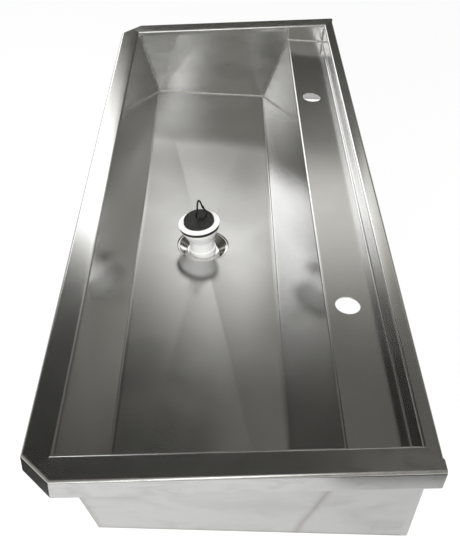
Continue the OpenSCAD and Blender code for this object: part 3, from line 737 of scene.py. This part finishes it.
def makeDishSteel(v):
    m, t, s, place = newMaterial("polishedSteel", Metallic=1.0)
    away = stretched(t, place, (1, 1, 1), shift=[-c for c in v["center"]])
    split = addNode(t, "ShaderNodeSeparateXYZ")
    t.links.new(away, split.inputs[0])
    x, y, z = split.outputs
    radius = calc(t, "SQRT", calc(t, "ADD", calc(t, "MULTIPLY", x, x), calc(t, "MULTIPLY", y, y)))
    angle = calc(t, "ARCTAN2", y, x)
    ring = addNode(t, "ShaderNodeCombineXYZ")
    feed(t, calc(t, "MULTIPLY", radius, v["spinScale"]), ring.inputs[0])
    feed(t, calc(t, "MULTIPLY", calc(t, "SINE", angle), 1.2), ring.inputs[1])
    feed(t, calc(t, "MULTIPLY", calc(t, "COSINE", angle), 1.2), ring.inputs[2])
    spun = noise(t, ring.outputs[0], 1.0, 3.0, 0.6)
    marks = noise(t, place, 45.0, 4.0, 0.65, 0.8)
    tone = mixed(t, mapped(t, marks, 0.45, 0.75, 0.0, 0.5), v["tone"], v["marks"])
    feed(t, tone, s["Base Color"])
    rough = calc(t, "ADD", v["roughness"], mapped(t, spun, 0.45, 0.75, 0.0, 0.10))
    feed(t, calc(t, "ADD", rough, mapped(t, marks, 0.5, 0.8, 0.0, 0.16)), s["Roughness"])
    dents = calc(t, "MULTIPLY", noise(t, place, 30.0, 1.0), v["dents"])
    feed(t, bumped(t, calc(t, "ADD", calc(t, "MULTIPLY", spun, v["spinHeight"]), dents)), s["Normal"])
    return m


show(["drain_dish"], makeDishSteel(dishLook))
print("drain dish polished")

# The waste leans in the outlet, and the plug lies tilted in it: metres and degrees
wastePlace = {
    "foot": (0.0, -0.24175, -0.0863523), "lean": 8.277, "tailRadius": 0.02375, "tailHeight": 0.010,
    "plugHeight": 0.068153, "tilt": 8.0, "eyeHeight": 0.005,
}
wasteTurn = Matrix.Rotation(math.radians(wastePlace["lean"]), 4, "X")
wasteFrame = (Matrix.Translation(wastePlace["foot"]) @ wasteTurn
              @ Matrix.Translation((0, -wastePlace["tailRadius"], 0)))
plugFrame = (wasteFrame @ Matrix.Translation((0, 0, wastePlace["plugHeight"]))
             @ Matrix.Rotation(math.radians(wastePlace["tilt"]), 4, "Y"))

plasticLook = {
    "tone": (.95, .95, .935, 1), "shade": (.91, .91, .89, 1), "roughness": 0.22,
    "threadPitch": 0.00231, "threadDepth": 0.0004, "threadFade": 0.0006,
}


def makePlastic(v, threaded):
    m, t, s, place = newMaterial("threadedPlastic" if threaded else "whitePlastic", Metallic=0.0)
    s["Specular IOR Level"].default_value = 0.5
    s["Coat Roughness"].default_value = 0.08
    broad = noise(t, place, 60.0, 3.0, 0.5)
    fine = noise(t, place, 900.0, 2.0, 0.5)
    color = mixed(t, mapped(t, broad, 0.4, 0.75), v["tone"], v["shade"])
    feed(t, color, s["Base Color"])
    feed(t, mapped(t, broad, 0.3, 0.8, v["roughness"], v["roughness"] + 0.12), s["Roughness"])
    feed(t, mapped(t, fine, 0.3, 0.8, 0.25, 0.15), s["Coat Weight"])
    height = calc(t, "MULTIPLY", fine, 0.00001)
    if threaded:
        turn = addNode(t, "ShaderNodeMapping", vector_type="TEXTURE")
        t.links.new(place, turn.inputs["Vector"])
        spot, tilt = wasteFrame.decompose()[:2]
        turn.inputs["Location"].default_value = spot
        turn.inputs["Rotation"].default_value = tilt.to_euler()
        split = addNode(t, "ShaderNodeSeparateXYZ")
        t.links.new(turn.outputs[0], split.inputs[0])
        x, y, z = split.outputs
        phase = calc(t, "ADD", calc(t, "DIVIDE", z, v["threadPitch"]),
                     calc(t, "DIVIDE", calc(t, "ARCTAN2", y, x), 2 * math.pi))
        onTail = mapped(t, z, wastePlace["tailHeight"], wastePlace["tailHeight"] - v["threadFade"])
        wave = calc(t, "MULTIPLY", calc(t, "PINGPONG", phase, 0.5), onTail)
        height = calc(t, "ADD", height, calc(t, "MULTIPLY", wave, v["threadDepth"] * 2))
    feed(t, bumped(t, height), s["Normal"])
    return m


rubberLook = {"tone": (.023, .023, .022, 1), "dust": (.10, .10, .10, 1), "roughness": 0.42}


def makeRubber(name, v, grain):
    m, t, s, place = newMaterial(name, Metallic=0.0)
    s["Specular IOR Level"].default_value = 0.5
    dusty = noise(t, place, 120.0, 4.0, 0.65, 0.4)
    fine = noise(t, place, 1400.0, 2.0, 0.6)
    feed(t, mixed(t, mapped(t, dusty, 0.5, 0.85, 0.0, 0.6), v["tone"], v["dust"]), s["Base Color"])
    feed(t, calc(t, "ADD", v["roughness"], mapped(t, dusty, 0.4, 0.8, 0.0, 0.22)), s["Roughness"])
    feed(t, bumped(t, calc(t, "MULTIPLY", fine, grain)), s["Normal"])
    return m


screwLook = {"tone": (.62, .60, .57, 1), "groove": (.50, .48, .45, 1), "roughness": 0.30}


def makeScrewSteel(v):
    m, t, s, place = newMaterial("screwSteel", Metallic=1.0)
    turned = noise(t, stretched(t, place, (400, 400, 2200)), 1.0, 2.0, 0.5)
    feed(t, mixed(t, turned, v["tone"], v["groove"]), s["Base Color"])
    feed(t, mapped(t, turned, 0.3, 0.7, v["roughness"], v["roughness"] + 0.15), s["Roughness"])
    feed(t, bumped(t, calc(t, "MULTIPLY", turned, 0.00002)), s["Normal"])
    return m


show(["waste_cup"], makePlastic(plasticLook, True))
show(["waste_flange"], makePlastic(plasticLook, False))
show(["waste_seal", "plug", "plug_eye"], makeRubber("plugRubber", rubberLook, 0.00002))
show(["waste_nut", "waste_screw"], makeScrewSteel(screwLook))
smooth(["waste_cup", "waste_flange", "waste_seal", "waste_nut", "waste_screw", "plug", "plug_eye"], 32)
print("waste and plug dressed")

# The lifting ring is one bent wire with its ends closed in a small clasp
ringShape = {
    "wire": 0.0015, "width": 0.015, "height": 0.040, "sides": 14, "fine": 9,
    "turns": [(0, 0), (-.16, .006), (-.21, .075), (-.16, .212), (-.03, .362), (.06, .613), (.19, .9),
              (.33, 1), (.48, .938), (.59, .75), (.69, .625), (.84, .48), (1, .287), (.97, .125),
              (.79, .005), (.47, -.072), (.17, -.013)],              # shares of the width and height
    "claspAt": 10, "claspRadius": 0.0021, "claspLength": 0.005,
    "claspEnd": [(0, .62), (.0001, .80), (.0004, .95), (.0009, 1)],  # metres in from its end, share of radius
}
wireLook = {"tone": (.008, .008, .008, 1), "dust": (.03, .03, .03, 1), "roughness": 0.30}


def makeRing(v):
    spots = [Vector((0, y * v["width"], z * v["height"])) for y, z in v["turns"]]
    line = []
    for k in range(len(spots)):
        a, b, c, d = (spots[(k + j) % len(spots)] for j in (-1, 0, 1, 2))
        for j in range(v["fine"]):
            t = j / v["fine"]
            line.append((2 * b + (c - a) * t + (2 * a - 5 * b + 4 * c - d) * t * t
                         + (3 * b - a - 3 * c + d) * t ** 3) / 2)
    points, faces = [], []
    place = plugFrame @ Matrix.Translation((0, 0, wastePlace["eyeHeight"]))
    n, sides = len(line), v["sides"]
    for k, p in enumerate(line):
        ahead = (line[(k + 1) % n] - line[k - 1]).normalized()
        out = ahead.cross(Vector((1, 0, 0)))
        for j in range(sides):
            a = 2 * math.pi * j / sides
            points.append(place @ (p + out * math.cos(a) * v["wire"]
                                   + Vector((math.sin(a) * v["wire"], 0, 0))))
            faces.append((k * sides + j, k * sides + (j + 1) % sides,
                          (k + 1) % n * sides + (j + 1) % sides, (k + 1) % n * sides + j))
    # The clasp is a short sleeve with rounded ends
    at = spots[v["claspAt"]]
    along = (spots[v["claspAt"] + 1] - spots[v["claspAt"] - 1]).normalized()
    out = along.cross(Vector((1, 0, 0)))
    half, r = v["claspLength"] / 2, v["claspRadius"]
    rows = [(d - half, wide) for d, wide in v["claspEnd"]]
    rows += [(half - d, wide) for d, wide in reversed(v["claspEnd"])]
    first = len(points)
    for k, (run, wide) in enumerate(rows):
        for j in range(sides):
            a = 2 * math.pi * j / sides
            points.append(place @ (at + along * run + out * math.cos(a) * r * wide
                                   + Vector((math.sin(a) * r * wide, 0, 0))))
            if k:
                b, c = first + (k - 1) * sides, first + k * sides
                faces.append((b + j, b + (j + 1) % sides, c + (j + 1) % sides, c + j))
    for b, flip in ((first, True), (first + (len(rows) - 1) * sides, False)):
        f = [b + j for j in range(sides)]
        faces.append(f[::-1] if flip else f)
    wire = makeRubber("coatedWire", wireLook, 0.00001)
    makePiece("liftRing", points, faces, wire, "ring", "black_wire", "plug_ring")


makeRing(ringShape)
print("lifting ring bent")
